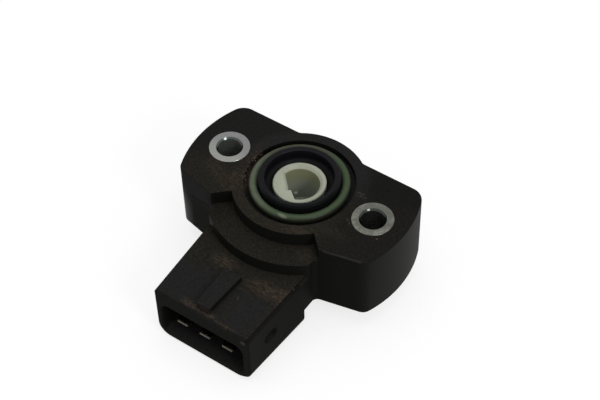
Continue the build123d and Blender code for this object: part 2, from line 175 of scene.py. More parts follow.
class SensorColours(bpy.types.PropertyGroup):
    """Colours of the plastics, metals, rubbers and dirt"""

    plastic: colour("Plastic", "Black moulded housing", (27, 27, 26))
    worn: colour("Worn", "Housing's skin where it has greyed", (36, 36, 36))
    # A shade darker than the plastic: painted shade on the upright walls.
    shaded_wall: colour("Wall", "Housing's upright walls", (24, 24, 21))
    collar: colour("Collar", "Polished collar round the rotor", (16, 16, 20))
    film: colour("Film", "Thin olive film of old oil on the housing", (30, 29, 25))
    dust: colour("Dust", "Brown road dust on the housing", (64, 53, 44))
    chalk: colour("Chalk", "Pale specks in the dust and the oil", (104, 96, 82))
    # Dark lines and pits, and also painted shade in the hollows and a painted shadow on the hood's side.
    scratch_and_shade: colour("Scratch", "Dark lines, pits and hollows of the housing", (16, 16, 15))
    cover: colour("Cover", "Black moulded back cover", (27, 27, 28))
    seal: colour("Seal", "Green face seal", (61, 75, 53))
    # Painted highlight on the seal's left side.
    seal_highlight: colour("Bloom", "Paler side of the face seal", (88, 96, 78))
    # Dirt, and also painted shade low on the seal, in the bores and on the terminals.
    grime_and_shade: colour("Grime", "Dark dirt low on the face seal and in the bores", (27, 26, 20))
    # Also the painted highlight on the seal's near crest.
    cream: colour("Cream", "Cream rotor", (162, 166, 149))
    # Olive of the socket's inside, greying deeper down, and of smears on the rotor.
    olive: colour("Olive", "Greased inside of the rotor's socket", (141, 143, 111))
    # Also the painted highlight on the right ear's rubbed edge.
    hollow: colour("Hollow", "Deep end of the rotor's socket, and a rubbed edge", (148, 153, 143))
    # Darker than the steel: a painted reflection in the bushes' chamfers.
    steel: colour("Steel", "Plated bushes", (171, 173, 165))
    bevel: colour("Bevel", "Smooth chamfers of the bushes", (84, 92, 89))
    scuffed: colour("Scuffed", "Dull scuffs and stains on the bushes", (112, 113, 103))
    tin: colour("Tin", "Tinned terminals", (200, 192, 172))
    # Also the painted shade on the far side of the bushes' ends.
    spring_and_shade: colour("Spring", "Spring steel washer, and the far side of the bushes", (150, 150, 152))
    contact: colour("Contact", "Copper alloy wiper and clips", (186, 142, 92))
    # Also the painted shade on the near side of the collar's bevel.
    rubber: colour("Rubber", "Black rubber of the inner seals", (12, 13, 12))
    ceramic: colour("Ceramic", "Ceramic resistor plate", (214, 211, 200))
    carbon: colour("Carbon", "Printed carbon track", (30, 30, 31))
    silver: colour("Silver", "Printed silver track and pads", (196, 194, 188))
    floor: colour("Floor", "Pale floor under the sensor", (140, 140, 140))


class SensorStage(bpy.types.PropertyGroup):
    """Camera, light and floor"""

    azimuth: angle("Azimuth", "Turn of the camera round the sensor", 35.712)
    elevation: angle("Elevation", "Height of the camera's line of sight", 48.894)
    roll: angle("Roll", "Turn of the picture about the line of sight", -1.412)
    distance: length("Distance", "From the point looked at to the camera", 272.62)
    target: FloatVectorProperty(
        name="Target",
        description="Point looked at",
        default=(2.570 * MM, -3.594 * MM, 0),
        subtype="TRANSLATION",
    )
    lens: number("Lens", "Focal length", 89.93, unit="CAMERA")
    near: length("Near", "Nearest distance that the camera sees", 10)
    far: length("Far", "Furthest distance that the camera sees", 20000)
    sky: number("Sky", "Level of the even light from all round", 0.62, min=0)
    lamp_power: number("Lamp power", "Power of the soft lamp overhead", 1.03, unit="POWER")
    lamp_size: length("Lamp size", "Side of the soft lamp", 500)
    lamp_height: length("Lamp height", "Height of the soft lamp over the sensor", 600)
    key_power: number("Key power", "Power of the small lamp at the right", 0.54, unit="POWER")
    key_size: length("Key size", "Side of the small lamp", 120)
    key_distance: length("Key distance", "From the sensor to the small lamp", 500)
    key_azimuth: angle("Key azimuth", "Turn of the small lamp round the sensor", 70.5)
    key_elevation: angle("Key elevation", "Height of the small lamp", 38.5)
    floor_size: length("Floor size", "Side of the floor", 6000)
    floor_glow: number("Floor glow", "Level that whitens the floor in the picture", 0.76)


class Paint:
    """Nodes of one material. Places are Object coordinates in millimetres."""

    def __init__(self, name):
        self.material = bpy.data.materials.new(name)
        self.material.use_nodes = True
        self.tree = self.material.node_tree
        self.shader = self.tree.nodes["Principled BSDF"]
        coordinates = self.tree.nodes.new("ShaderNodeTexCoord")
        self.place = self.vector("SCALE", coordinates.outputs["Object"], scale=1 / MM)
        parts = self.node("SeparateXYZ", Vector=self.place)
        self.x, self.y, self.z = parts.outputs
        self.upward = self.node("SeparateXYZ", Vector=coordinates.outputs["Normal"]).outputs["Z"]

    def put(self, socket, value):
        """Links another node's output to a socket, or sets the socket's own value."""
        if isinstance(value, bpy.types.NodeSocket):
            self.tree.links.new(value, socket)
        elif socket.type == "RGBA":
            socket.default_value = (*value, 1)
        else:
            socket.default_value = value

    def node(self, kind, settings=None, **values):
        """Node of a kind with its settings, and values on its named inputs."""
        made = self.tree.nodes.new("ShaderNode" + kind)
        for name, value in (settings or {}).items():
            setattr(made, name, value)
        for name, value in values.items():
            self.put(made.inputs[name.replace("_", " ")], value)
        return made

    def math(self, operation, first, second=0.0, clamp=False):
        """Sum, product or other figure of two numbers."""
        made = self.node("Math", {"operation": operation, "use_clamp": clamp})
        self.put(made.inputs[0], first)
        self.put(made.inputs[1], second)
        return made.outputs[0]

    def times(self, *values):
        """Product of several numbers or masks."""
        result = values[0]
        for value in values[1:]:
            result = self.math("MULTIPLY", result, value)
        return result

    def together(self, *values):
        """Sum of several masks, kept from 0 to 1."""
        result = values[0]
        for value in values[1:]:
            result = self.math("ADD", result, value, clamp=True)
        return result

    def without(self, mask):
        """Nothing where a mask is one, and one where it is nothing."""
        return self.math("SUBTRACT", 1.0, mask)

    def vector(self, operation, first, second=None, scale=None):
        """Vector figure of two places."""
        made = self.node("VectorMath", {"operation": operation})
        self.put(made.inputs[0], first)
        if second is not None:
            self.put(made.inputs[1], second)
        if scale is not None:
            made.inputs["Scale"].default_value = scale
        gives_number = operation in ("LENGTH", "DOT_PRODUCT", "DISTANCE")
        return made.outputs["Value" if gives_number else "Vector"]

    def along(self, *direction):
        """How far a place lies along a direction."""
        return self.vector("DOT_PRODUCT", self.place, direction)

    def stretched(self, *scale):
        """Places with each axis scaled, which draws a noise out along the smallest."""
        return self.vector("MULTIPLY", self.place, scale)

    def rise(self, value, low, high, start=0.0, end=1.0):
        """Smooth step from start to end while the value goes from low to high."""
        bounds = {"From_Min": low, "From_Max": high, "To_Min": start, "To_Max": end}
        made = self.node("MapRange", {"interpolation_type": "SMOOTHSTEP"}, Value=value, **bounds)
        return made.outputs["Result"]

    def between(self, share, first, second):
        """Number at a share of the way from one number to another."""
        return self.node("MapRange", Value=share, To_Min=first, To_Max=second).outputs["Result"]

    def wave(self, value, pitch):
        """Sine wave from -1 to 1 with a pitch in millimetres."""
        return self.math("SINE", self.math("MULTIPLY", value, 2 * math.pi / pitch))

    def noise(self, scale, detail=2.0, roughness=0.5, place=None):
        """Cloudy noise from 0 to 1, with a scale in turns per millimetre."""
        made = self.node("TexNoise", Scale=scale, Detail=detail, Roughness=roughness)
        self.put(made.inputs["Vector"], place or self.place)
        return made.outputs["Fac"]

    def patch(self, centre, size):
        """One at a place, fading to nothing at the edge of an ellipsoid about it."""
        away = self.vector("DIVIDE", self.vector("SUBTRACT", self.place, centre), size)
        return self.rise(self.vector("LENGTH", away), 1.0, PATCH_CORE)

    def patches(self, places):
        """Patches at several places, each given by its centre and size."""
        return self.together(*[self.patch(centre, size) for centre, size in places])

    def line(self, start, end, width):
        """One along a straight line between two places, fading to nothing at a distance from it."""
        run = Vector(end) - Vector(start)
        away = self.vector("SUBTRACT", self.place, start)
        share = self.math("DIVIDE", self.vector("DOT_PRODUCT", away, run), run.length_squared, clamp=True)
        nearest = self.node("VectorMath", {"operation": "SCALE"}, Scale=share)
        nearest.inputs[0].default_value = run
        return self.rise(self.vector("DISTANCE", away, nearest.outputs["Vector"]), width, LINE_CORE * width)

    def mix(self, amount, first, second):
        """Colour between two colours."""
        made = self.node("Mix", {"data_type": "RGBA"})
        self.put(made.inputs[0], amount)
        self.put(made.inputs[6], first)
        self.put(made.inputs[7], second)
        return made.outputs[2]

    @cached_property
    def radius(self):
        """Distance from the rotor's axis."""
        flat = self.node("CombineXYZ", X=self.x, Y=self.y)
        return self.vector("LENGTH", flat.outputs["Vector"])

    def bump(self, height, millimetres):
        """Surface that rises by a height of 0 to 1 times a real depth."""
        made = self.node("Bump", Height=height, Distance=millimetres * MM)
        self.put(self.shader.inputs["Normal"], made.outputs["Normal"])

    def finish(self, **values):
        """Sets the shader's own sockets and gives the material back."""
        for name, value in values.items():
            self.put(self.shader.inputs[name.replace("_", " ")], value)
        return self.material


class HousingGrain:
    """Noises that the housing's tops, walls and dirt share."""

    def __init__(self, paint):
        streaks = paint.stretched(0.5, 1.5, 1.0)
        self.cloud = paint.noise(0.9, 4, 0.65)
        self.fine = paint.rise(paint.noise(2.3, 4, 0.78), 0.4, 0.64)
        self.clods = paint.rise(paint.noise(1.2, 5, 0.66, streaks), 0.3, 0.66)
        self.specks = paint.rise(paint.noise(2.4, 4, 0.65, streaks), 0.5, 0.72)
        self.pits = paint.rise(paint.noise(2.8, 4, 0.78, streaks), 0.5, 0.34)


def mounting_face(paint):
    """One on the housing's mounting face, and nothing below it."""
    return paint.rise(paint.z, -0.45, -0.1)


def housing_film(paint):
    """Share of old oil from 0 to 1: on the recess floor, the hood's top and the ears' front halves."""
    ragged = paint.times(paint.noise(0.8, 5, 0.7), 4.4)
    on_floor = paint.math("SUBTRACT", paint.rise(paint.z, -4.2, -3.3), paint.rise(paint.z, -2.9, -2.2))
    behind = paint.rise(paint.math("SUBTRACT", paint.y, ragged), -26.2, -23.2)
    beside = paint.together(
        paint.patch((3.4, -27.4, -6.0), (1.7, 4.0, 2.0)),
        paint.line((10.6, -20.0, -5.9), (9.9, -30.4, -6.2), 1.6),
    )
    on_hood = paint.times(paint.rise(paint.z, -4.6, -5.3), paint.together(behind, paint.times(beside, 0.7)))
    forward = paint.rise(paint.along(0.25, -1.0, 0), -3.0, 2.0)
    on_ears = paint.times(mounting_face(paint), forward, paint.rise(paint.x, 9.0, 14.0, 1.0, 0.5))
    return paint.together(on_floor, on_hood, on_ears)


def housing_dust(paint):
    """Share of brown dust from 0 to 1: round the seal, on the ears, in the recess and on the hood's top."""
    band = paint.times(paint.rise(paint.radius, 13.6, 12.0), paint.rise(paint.radius, 9.9, 10.3))
    forward = paint.rise(paint.along(-0.42, -0.9, 0), -3.0, 6.5)
    round_seal = paint.times(mounting_face(paint), band, forward, 0.15)
    heavy = paint.times(paint.patches(HEAVY_DUST), 0.62)
    on_left_ear = paint.line((-16.2, -5.2, 0), (-10.6, -7.6, 0), 2.3)
    light = paint.times(paint.together(on_left_ear, paint.patches(LIGHT_DUST)), 0.28)
    return paint.together(round_seal, heavy, light)


def housing_marks(paint):
    """Share of pale rubbed marks: two scratches and a few specks."""
    scratches = paint.together(
        paint.line((12.0, -2.5, 0), (13.2, -3.35, 0), 0.24),
        paint.line((2.59, -22.58, -5.88), (4.2, -22.5, -5.88), 0.2),
    )
    scattered = paint.rise(paint.noise(2.2, 3, 0.6), 0.5, 0.62)
    specks = paint.together(
        paint.patch((19.16, -3.54, 0), (0.26, 0.26, 0.26)),
        paint.patch((9.35, -31.2, -7.4), (0.75, 0.6, 0.65)),
        paint.times(paint.patch((11.3, 3.6, 0), (1.8, 0.9, 0.5)), scattered),
    )
    broken = paint.rise(paint.noise(1.7, 3, 0.6), 0.35, 0.6)
    return paint.together(paint.times(scratches, broken, 0.2), paint.times(specks, 0.4))


def housing_tops(paint, colours, grain, film, dust):
    """Tone of the upward faces: greyed plastic under oil, dust, dark pits, a darker right ear, painted shade
    on the floor at the recess's left end, and pale specks.
    """
    far_boss = paint.times(paint.rise(paint.radius, 14.0, 12.0), paint.rise(paint.y, -2.0, 4.0))
    greyed = paint.together(paint.rise(paint.z, -3.4, -4.4), far_boss)
    wear = paint.together(paint.times(greyed, 0.6), paint.times(grain.fine, 0.62))
    tone = paint.mix(wear, colours.plastic, colours.worn)
    oily = paint.times(film, paint.rise(grain.cloud, 0.25, 0.6, 0.6, 1.0))
    tone = paint.mix(oily, tone, colours.film)
    tone = paint.mix(paint.times(dust, grain.clods), tone, colours.dust)
    right_ear = paint.times(paint.rise(paint.x, 8.5, 12.5), mounting_face(paint), 0.33)
    # Painted shade on the floor at the recess's left end.
    recess_end = paint.times(paint.patch((-10.2, -12.4, -3.0), (3.6, 3.2, 1.6)), 0.35)
    dark = paint.together(paint.times(grain.pits, 0.66), right_ear, recess_end)
    tone = paint.mix(dark, tone, colours.scratch_and_shade)
    pale = paint.together(paint.times(grain.specks, dust, 0.34), paint.times(film, grain.fine, 0.08))
    return paint.mix(pale, tone, colours.chalk)


def housing_walls(paint, colours, grain):
    """Tone of the upright walls: plastic painted a shade darker than the tops, painted shade by the boss and
    in hollows, a painted shadow at the rear of the hood's side, greyed at the left and the hood's front.
    """
    # Painted shade on the recess walls beside the boss.
    near_boss = paint.times(paint.rise(paint.z, -3.6, -2.9), paint.rise(paint.radius, 16.6, 15.8), 0.2)
    tone = paint.mix(near_boss, colours.shaded_wall, colours.scratch_and_shade)
    upper_part = paint.times(paint.rise(paint.radius, 15.8, 16.6), paint.rise(paint.z, -6.6, -3.8))
    front_left = paint.rise(paint.along(-0.87, -0.5, 0), 13.6, 17.0)
    tone = paint.mix(paint.times(upper_part, front_left), tone, colours.worn)
    hood_side = paint.times(paint.rise(paint.x, 9.6, 10.2), paint.rise(paint.y, -15.4, -16.6))
    front = paint.rise(paint.y, -25.0, -30.0)
    tone = paint.mix(paint.times(hood_side, front, 0.35), tone, colours.worn)
    # Painted shadow of the right ear on the rear of the hood's side.
    rear = paint.rise(paint.y, -26.0, -19.0)
    tone = paint.mix(paint.times(hood_side, rear, 0.35), tone, colours.scratch_and_shade)
    # Painted shade in the recess's left end and in a pocket by the neck's right side, with the grain's dark
    # pits.
    hollows = paint.together(
        paint.times(paint.patch((-10.9, -10.4, -1.6), (3.4, 3.4, 2.4)), 0.6),
        paint.times(paint.patch((10.8, -24.9, -11.3), (1.2, 2.5, 2.1)), 0.7),
        paint.times(grain.pits, 0.5),
    )
    return paint.mix(hollows, tone, colours.scratch_and_shade)


def housing_details(paint, colours, grain, tone):
    """Tone with dirt added in the groove and at the key rib's foot, then pale marks, a rubbed edge with a
    painted highlight, and dark lines: parting lines and a painted shade along the hood's step.
    """
    left = paint.rise(paint.along(-0.97, -0.26, 0), 8.8, 9.8)
    in_groove = paint.times(paint.rise(paint.radius, 10.8, 10.45), paint.rise(paint.radius, 8.3, 8.8), left)
    dirt = paint.mix(grain.clods, colours.film, colours.dust)
    tone = paint.mix(paint.times(in_groove, 0.8), tone, dirt)
    foot = paint.patch((0.2, -30.1, -5.9), (3.4, 1.1, 1.3))
    tone = paint.mix(paint.times(foot, grain.clods, 0.8), tone, colours.dust)
    tone = paint.mix(housing_marks(paint), tone, colours.chalk)
    # Rubbed wear and a painted highlight along the right ear's front top edge.
    rubbed_edge_highlight = paint.line((12.9, -11.25, -0.05), (19.6, -9.65, -0.05), 0.3)
    tone = paint.mix(paint.times(rubbed_edge_highlight, 0.045), tone, colours.hollow)
    # Painted shade along the step under the hood's right top edge.
    hood_step = paint.line((10.9, -16.0, -6.3), (10.2, -31.0, -6.9), 0.6)
    lines = paint.together(
        paint.line((-19.05, -9.8, -5.78), (-12.7, -11.3, -4.2), 0.34),
        paint.line((18.9, -9.95, -5.0), (21.3, -8.3, -4.9), 0.2),
        paint.times(hood_step, 0.55),
    )
    return paint.mix(lines, tone, colours.scratch_and_shade)


def housing_finish(colours):
    """Dull black moulding under oil and dust, polished on its collar and on the walls of its two ends."""
    paint = Paint("housing_plastic")
    grain = HousingGrain(paint)
    level = paint.rise(paint.upward, 0.5, 0.9)
    film = paint.times(housing_film(paint), level, paint.rise(paint.radius, 9.6, 10.2))
    dust = paint.times(housing_dust(paint), level)
    tops = housing_tops(paint, colours, grain, film, dust)
    tone = paint.mix(level, housing_walls(paint, colours, grain), tops)
    tone = housing_details(paint, colours, grain, tone)
    collar = paint.times(paint.rise(paint.radius, 8.3, 7.9), paint.rise(paint.z, -1.4, -1.0))
    # Painted shade on the near side of the collar's outer bevel, in the rubber's colour.
    near_side = paint.rise(paint.along(0.6, -0.8, 0), 2.0, 5.5)
    bevel = paint.times(paint.rise(paint.radius, 7.08, 7.3), near_side, 0.85)
    tone = paint.mix(collar, tone, paint.mix(bevel, colours.collar, colours.rubber))
    skin = paint.times(paint.noise(6.5, 2, 0.55), 0.4)
    paint.bump(paint.math("ADD", skin, paint.times(dust, grain.clods)), 0.025)
    rough = paint.rise(paint.together(dust, paint.times(grain.cloud, 0.2)), 0.0, 0.8, 0.55, 0.85)
    right_end = paint.times(paint.rise(paint.x, 18.6, 22.8), 0.1)
    left_end = paint.times(paint.rise(paint.x, -17.2, -20.6), paint.rise(paint.z, -3.0, -11.0), 0.4)
    end_walls = paint.times(paint.together(right_end, left_end), paint.without(level))
    gloss = paint.together(paint.times(collar, paint.without(bevel), 0.25), end_walls)
    return paint.finish(
        Base_Color=tone, Roughness=rough, Specular_IOR_Level=0.012, Coat_Weight=gloss, Coat_Roughness=0.3
    )


def cover_finish(colours):
    """Black moulding with a fine grain, shinier than the housing and clouded with a little dust."""
    paint = Paint("cover_plastic")
    cloud = paint.noise(0.7, 3, 0.6)
    grain = paint.noise(7.0, 2, 0.5)
    paint.bump(grain, 0.012)
    tone = paint.mix(paint.rise(cloud, 0.35, 0.75, 0, 0.35), colours.cover, colours.dust)
    rough = paint.rise(cloud, 0.2, 0.8, 0.46, 0.62)
    return paint.finish(Base_Color=tone, Roughness=rough, Specular_IOR_Level=0.25)


def seal_finish(colours):
    """Green rubber with a painted highlight on its left side and on its near crest, and dark low on its
    flanks with grime and painted shade.
    """
    paint = Paint("ring_rubber")
    cloud = paint.noise(0.8, 3, 0.6)
    # Painted highlight on the left side.
    left = paint.rise(paint.along(-0.9, -0.43, 0), 2.0, 7.5)
    tone = paint.mix(paint.times(left, paint.rise(cloud, 0.3, 0.6, 0.5, 1.0)), colours.seal, colours.seal_highlight)
    far = paint.rise(paint.along(-0.58, 0.81, 0), 4.0, 8.0)
    tone = paint.mix(paint.times(far, 0.5), tone, colours.dust)
    # Grime and painted shade low on the flanks, most on the outer flank.
    ragged = paint.times(paint.noise(1.6, 3, 0.6), 0.3)
    low = paint.rise(paint.math("SUBTRACT", paint.z, ragged), 0.42, -0.2)
    outer = paint.rise(paint.radius, 8.6, 9.3, 0.4, 0.95)
    tone = paint.mix(paint.times(low, outer), tone, colours.grime_and_shade)
    # Painted highlight on the near crest.
    shine = paint.patch((2.3, -8.75, 0.42), (1.5, 0.5, 0.5))
    tone = paint.mix(paint.times(shine, 0.26), tone, colours.cream)
    outer_left = paint.times(paint.rise(paint.x, -7.8, -8.6), paint.rise(paint.radius, 8.9, 9.3))
    packed = paint.times(outer_left, paint.rise(paint.y, -5.0, -2.0))
    tone = paint.mix(paint.times(packed, 0.8), tone, colours.dust)
    paint.bump(paint.noise(5.5, 2, 0.5), 0.008)
    rough = paint.rise(cloud, 0.25, 0.75, 0.3, 0.42)
    return paint.finish(Base_Color=tone, Roughness=rough, Specular_IOR_Level=0.14)


def rotor_finish(colours):
    """Cream moulding whose socket turns olive and then grey towards its deep end, with a painted glint deep
    inside.
    """
    paint = Paint("rotor_plastic")
    cloud = paint.noise(0.9, 3, 0.6)
    smear = paint.rise(cloud, 0.3, 0.75, 0, 0.22)
    tone = paint.mix(smear, colours.cream, colours.olive)
    # The socket's inside turns olive and then grey with depth.
    inside = paint.times(paint.rise(paint.radius, 4.35, 3.95), paint.rise(paint.z, -0.35, -1.1))
    socket_tone = paint.mix(paint.rise(paint.z, -1.5, -6.0, 0, 0.9), colours.olive, colours.hollow)
    # Painted glint: a white spot deep in the socket.
    painted_glint = paint.patch((-2.75, 2.55, -7.2), (0.55, 0.55, 0.55))
    tone = paint.mix(inside, tone, paint.mix(painted_glint, socket_tone, (1, 1, 1)))
    paint.bump(paint.noise(6.0, 2, 0.5), 0.008)
    rough = paint.rise(cloud, 0.3, 0.7, 0.38, 0.5)
    return paint.finish(Base_Color=tone, Roughness=rough, Specular_IOR_Level=0.4)


def steel_finish(colours):
    """Plated steel: turned rings on the ends, smooth chamfers darkened as a painted reflection, stained bores
    darkened with painted shade, ends painted darker towards the far side as shade, a scuffed right bush.
    """
    paint = Paint("bush_steel")
    side = paint.math("SUBTRACT", paint.math("ABSOLUTE", paint.x), BUSH_PLACE)
    out = paint.vector("LENGTH", paint.node("CombineXYZ", X=side, Y=paint.y).outputs["Vector"])
    right = paint.rise(paint.x, -1.0, 1.0)
    far = paint.rise(paint.y, -2.5, 1.5)
    # Painted shade: the ends darker and bluer towards the far side.
    tone = paint.mix(paint.times(far, 0.85), colours.steel, colours.spring_and_shade)
    scuffs = paint.rise(paint.noise(1.6, 4, 0.65), 0.45, 0.72)
    tone = paint.mix(paint.times(scuffs, 0.3), tone, colours.scuffed)
    dull = paint.times(right, paint.rise(paint.noise(0.6, 4, 0.65), 0.3, 0.6, 0.45, 1.0))
    tone = paint.mix(dull, tone, colours.scuffed)
    # Painted reflection: the chamfers darker than the faces, darker still on the right bush.
    chamfer = paint.rise(out, BUSH_MOUTH + 0.05, BUSH_MOUTH - 0.05)
    bevel = paint.mix(paint.times(right, 0.4), colours.bevel, colours.grime_and_shade)
    tone = paint.mix(paint.times(chamfer, 0.85), tone, bevel)
    # Stain and painted shade deep in the bores, and painted shade along the tool marks.
    within = paint.rise(out, BUSH_BORE + 0.3, BUSH_BORE + 0.1)
    in_bore = paint.times(within, paint.rise(paint.z, -0.3, -0.6))
    stain = paint.mix(right, colours.scuffed, colours.grime_and_shade)
    tone = paint.mix(paint.times(in_bore, paint.rise(right, 0, 1, 0.5, 0.66)), tone, stain)
    marks = paint.rise(paint.wave(paint.z, BORE_PITCH), -1, 1, 0.0, 0.34)
    tone = paint.mix(paint.times(in_bore, marks), tone, colours.grime_and_shade)
    paint.bump(paint.times(paint.wave(out, END_RING_PITCH), 0.5), 0.004)
    rough = paint.between(chamfer, paint.rise(scuffs, 0, 1, 0.3, 0.5), 0.16)
    return paint.finish(Base_Color=tone, Roughness=rough, Metallic=paint.rise(in_bore, 0, 1, 1.0, 0.4))


def tin_finish(colours):
    """Tinned brass with rolled lines along the blade, dark with tarnish and painted shade behind its tip and
    under the tip's upper edge.
    """
    paint = Paint("terminal_metal")
    low, high = (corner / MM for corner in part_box("terminal_1"))
    worn = paint.rise(paint.noise(1.4, 3, 0.6), 0.5, 0.75, 0, 0.35)
    tone = paint.mix(worn, colours.tin, colours.contact)
    # Tarnish and painted shade behind the tip and under its upper edge, deep in the hood.
    at_tip = paint.rise(paint.y, low.y + 0.25, low.y + 0.1)
    under = paint.rise(paint.z, 0.55 * high.z + 0.45 * low.z, 0.35 * high.z + 0.65 * low.z)
    behind = paint.rise(paint.y, low.y + 0.12, low.y + 0.5)
    tarnish = paint.together(paint.times(at_tip, under), behind)
    tone = paint.mix(paint.times(tarnish, 0.85), tone, colours.grime_and_shade)
    lines = paint.noise(1.0, 2, 0.5, paint.stretched(6.0, 0.3, 6.0))
    paint.bump(lines, 0.006)
    return paint.finish(Base_Color=tone, Roughness=paint.rise(lines, 0.3, 0.7, 0.22, 0.38), Metallic=1.0)


def sheet_finish(name, tone, tarnish):
    """Rolled sheet metal with fine lines and a cloudy tarnish."""
    paint = Paint(name)
    lines = paint.noise(1.0, 2, 0.5, paint.stretched(0.4, 7.0, 7.0))
    paint.bump(lines, 0.005)
    mixed = paint.mix(paint.rise(paint.noise(0.8, 3, 0.6), 0.4, 0.75, 0, 0.4), tone, tarnish)
    return paint.finish(Base_Color=mixed, Roughness=paint.rise(lines, 0.3, 0.7, 0.26, 0.42), Metallic=1.0)


def rubber_finish(colours):
    """Black rubber with a dull, faintly mottled skin."""
    paint = Paint("seal_rubber")
    cloud = paint.noise(1.2, 3, 0.6)
    paint.bump(paint.noise(6.0, 2, 0.5), 0.01)
    tone = paint.mix(paint.rise(cloud, 0.4, 0.8, 0, 0.5), colours.rubber, colours.collar)
    rough = paint.rise(cloud, 0.3, 0.7, 0.55, 0.7)
    return paint.finish(Base_Color=tone, Roughness=rough, Specular_IOR_Level=0.12)


def ceramic_finish(colours):
    """Fired ceramic plate with a fine matt grain."""
    paint = Paint("plate_ceramic")
    grain = paint.noise(9.0, 2, 0.6)
    paint.bump(grain, 0.006)
    tone = paint.mix(paint.rise(paint.noise(0.6, 3, 0.6), 0.4, 0.8, 0, 0.18), colours.ceramic, colours.dust)
    return paint.finish(Base_Color=tone, Roughness=paint.rise(grain, 0.3, 0.7, 0.55, 0.68))


def track_finish(name, tone, edge, metallic):
    """Printed ink with the mesh of its screen faintly left in it."""
    paint = Paint(name)
    weave = paint.times(paint.wave(paint.x, SCREEN_PITCH), paint.wave(paint.y, SCREEN_PITCH))
    paint.bump(weave, 0.003)
    mixed = paint.mix(paint.rise(paint.noise(2.0, 3, 0.6), 0.45, 0.75, 0, 0.3), tone, edge)
    return paint.finish(Base_Color=mixed, Roughness=paint.rise(weave, -1, 1, 0.35, 0.5), Metallic=metallic)


def grit_finish(colours):
    """Dull brown and pale road grit."""
    paint = Paint("road_grit")
    tone = paint.mix(paint.rise(paint.noise(2.6, 2, 0.5), 0.4, 0.65), colours.dust, colours.chalk)
    paint.bump(paint.noise(12.0, 2, 0.6), 0.01)
    return paint.finish(Base_Color=tone, Roughness=paint.rise(paint.noise(5.0), 0.3, 0.7, 0.7, 0.9))


def floor_finish(colours, glow):
    """Dull pale floor, with a glow that only the camera, reflections and see-through things show."""
    paint = Paint("pale_floor")
    path = paint.node("LightPath")
    seen = paint.together(*[path.outputs[f"Is {ray} Ray"] for ray in ("Camera", "Glossy", "Transmission")])
    return paint.finish(
        Base_Color=colours.floor,
        Roughness=1.0,
        Specular_IOR_Level=0.0,
        Emission_Color=(1, 1, 1),
        Emission_Strength=paint.times(seen, glow),
    )


def toward(turn, rise):
    """Direction from the sensor at a turn from the front and a rise over the floor."""
    return Vector((math.sin(turn) * math.cos(rise), -math.cos(turn) * math.cos(rise), math.sin(rise)))


def add_piece(name, mesh, body, slot, material, *nodes):
    """Object for a mesh, riding on a body and standing for the nodes that it replaces."""
    mesh.materials.append(material)
    piece = bpy.data.objects.new(name, mesh)
    bpy.context.scene.collection.objects.link(piece)
    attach(piece, body)
    if nodes:
        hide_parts(*nodes)


def paint_node(node, material):
    """Gives a node that stays as it is its finish."""
    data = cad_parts[node].data
    data.materials.clear()
    data.materials.append(material)


def ring_mesh(name, radii, heights, turns, centre_x=0.0):
    """Closed section of radii and heights carried round an upright axis: x = r cos t, y = r sin t, z = h."""
    turn = np.linspace(0, 2 * np.pi, turns, endpoint=False)[:, None]
    points = np.stack(
        (centre_x + radii * np.cos(turn), radii * np.sin(turn), heights + np.zeros_like(turn)), axis=-1
    )
    count = len(radii)
    row, column = np.meshgrid(np.arange(turns), np.arange(count), indexing="ij")
    next_row = (row + 1) % turns
    next_column = (column + 1) % count
    corners = ((row, column), (next_row, column), (next_row, next_column), (row, next_column))
    faces = np.stack([along * count + across for along, across in corners], axis=-1).reshape(-1, 4)
    mesh = bpy.data.meshes.new(name)
    mesh.from_pydata(points.reshape(-1, 3).tolist(), [], faces.tolist())
    mesh.shade_smooth()
    return mesh


class SENSOR_OT_housing(bpy.types.Operator):
    """Give the moulded housing its dull plastic, oil and dust"""

    bl_idname = "sensor.housing"
    bl_label = "Housing"

    def execute(self, context):
        paint_node("housing", housing_finish(context.scene.sensor_colours))
        return {"FINISHED"}


class SENSOR_OT_bushes(bpy.types.Operator):
    """Turn the two bushes with their chamfers and the tool marks in their bores"""

    bl_idname = "sensor.bushes"
    bl_label = "Bushes"

    def execute(self, context):
        sizes = context.scene.sensor_sizes
        material = steel_finish(context.scene.sensor_colours)
        for node in ("bush_left", "bush_right"):
            radii, heights, centre = self.section(node, sizes)
            mesh = ring_mesh(node + "_turned", radii, heights, sizes.turns, centre)
            mesh.set_sharp_from_angle(angle=sizes.crease)
            add_piece(node + "_turned", mesh, "housing", "bush_steel", material, node)
        return {"FINISHED"}

    @staticmethod
    def section(node, sizes):
        """Sleeve's section, with a bore of radius bore + mark * (1 - cos(2 pi h / pitch)) / 2 at height h."""
        low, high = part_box(node)
        outer = (high.x - low.x) / 2
        bore, chamfer, edge = sizes.bush_bore, sizes.bush_chamfer, sizes.bush_edge
        mouth = bore + chamfer
        rise = np.linspace(low.z + chamfer, high.z - chamfer, sizes.bore_steps)
        wave = 1 - np.cos(2 * np.pi * (rise - rise[0]) / sizes.bore_pitch)
        marked = bore + sizes.bore_mark * wave / 2
        radii = np.concatenate((marked, [mouth, outer - edge, outer, outer, outer - edge, mouth]))
        heights = np.concatenate((rise, [high.z, high.z, high.z - edge, low.z + edge, low.z, low.z]))
        # Reversed, so that it runs anticlockwise and the faces point outwards
        return radii[::-1], heights[::-1], (low.x + high.x) / 2


